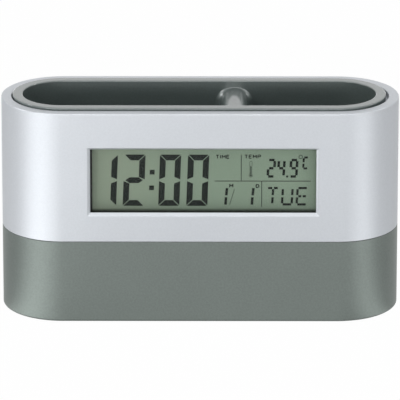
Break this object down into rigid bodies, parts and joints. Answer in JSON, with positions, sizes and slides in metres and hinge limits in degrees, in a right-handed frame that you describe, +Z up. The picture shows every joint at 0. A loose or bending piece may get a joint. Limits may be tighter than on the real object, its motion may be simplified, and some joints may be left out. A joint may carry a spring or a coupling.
{
  "type": "pen holder clock",
  "caption": "Upright desk pen cup with rounded ends and a divider, with a liquid crystal clock, calendar and thermometer set in its front.",
  "frame": {"origin": "on the table under the middle of the clock, midway along its length and its depth", "axes": "+Z up; -Y is the front, which the display faces; +X to the right as seen from the front"},
  "size_m": [0.15, 0.0466, 0.0844],
  "materials": {
    "silver_paint": "satin silver metallic paint on moulded plastic",
    "dark_grey_plastic": "fine grained dark grey metallic plastic",
    "cup_plastic": "satin dark grey plastic",
    "black_plastic": "matt black plastic",
    "clear_acrylic": "clear polished acrylic",
    "display_glass": "grey green reflective liquid crystal cell",
    "reflector_film": "pale grey reflector film",
    "black_rubber": "matt rubber",
    "elastomer": "banded conductive elastomer",
    "circuit_board": "green solder mask on glass fibre board",
    "epoxy": "black epoxy",
    "plated_steel": "bright nickel plate",
    "brass_sheet": "plain brass sheet with a fired silver layer",
    "capacitor_body": "fired ceramic with tinned ends",
    "red_insulation": "soft red sleeve",
    "black_insulation": "soft black sleeve",
    "white_insulation": "soft white sleeve",
    "cell_jacket": "plain printed film jacket over a steel can"
  },
  "bodies": {
    "clock": {"upper_housing": "silver_paint", "base_housing": "dark_grey_plastic", "pen_cup": "cup_plastic", "lens_tape": "black_plastic", "lcd_frame": "black_plastic", "display_lens": "clear_acrylic", "lcd_front_glass": "display_glass", "lcd_rear_glass": "display_glass", "lcd_reflector": "reflector_film", "rubber_keypad": "black_rubber", "foot_1": "black_rubber", "foot_2": "black_rubber", "foot_3": "black_rubber", "foot_4": "black_rubber", "contact_strip_lower": "elastomer", "contact_strip_upper": "elastomer", "clock_board": "circuit_board", "key_board": "circuit_board", "chip_cover": "epoxy", "temperature_sensor": "epoxy", "timing_crystal": "plated_steel", "link_contact": "plated_steel", "positive_contact": "plated_steel", "negative_contact": "plated_steel", "key_screw_1": "plated_steel", "key_screw_2": "plated_steel", "board_screw_1": "plated_steel", "board_screw_2": "plated_steel", "board_screw_3": "plated_steel", "board_screw_4": "plated_steel", "base_screw_1": "plated_steel", "base_screw_2": "plated_steel", "base_screw_3": "plated_steel", "base_screw_4": "plated_steel", "alarm_sounder": "brass_sheet", "capacitor_1": "capacitor_body", "capacitor_2": "capacitor_body", "battery_lead_positive": "red_insulation", "sounder_lead_1": "red_insulation", "battery_lead_negative": "black_insulation", "sounder_lead_2": "white_insulation", "key_ribbon": "white_insulation", "battery_1": "cell_jacket", "battery_2": "cell_jacket"},
    "battery_door": {"battery_door": "dark_grey_plastic"},
    "button_1": {"button_1": "dark_grey_plastic"},
    "button_2": {"button_2": "dark_grey_plastic"},
    "button_3": {"button_3": "dark_grey_plastic"},
    "button_4": {"button_4": "dark_grey_plastic"}
  },
  "joints": [
    {"name": "battery_door_hinge", "type": "hinge", "parent": "clock", "child": "battery_door", "pos_m": [0, -0.0127, 0.00115], "axis": [-1, 0, 0], "range_deg": [0, 80]},
    {"name": "button_1_press", "type": "slide", "parent": "clock", "child": "button_1", "axis": [0, -1, 0], "range_m": [0, 0.0007], "stiffness_N_per_m": 400, "deforming": ["rubber_keypad"]},
    {"name": "button_2_press", "type": "slide", "parent": "clock", "child": "button_2", "axis": [0, -1, 0], "range_m": [0, 0.0007], "stiffness_N_per_m": 400, "deforming": ["rubber_keypad"]},
    {"name": "button_3_press", "type": "slide", "parent": "clock", "child": "button_3", "axis": [0, -1, 0], "range_m": [0, 0.0007], "stiffness_N_per_m": 400, "deforming": ["rubber_keypad"]},
    {"name": "button_4_press", "type": "slide", "parent": "clock", "child": "button_4", "axis": [0, -1, 0], "range_m": [0, 0.0007], "stiffness_N_per_m": 400, "deforming": ["rubber_keypad"]}
  ]
}
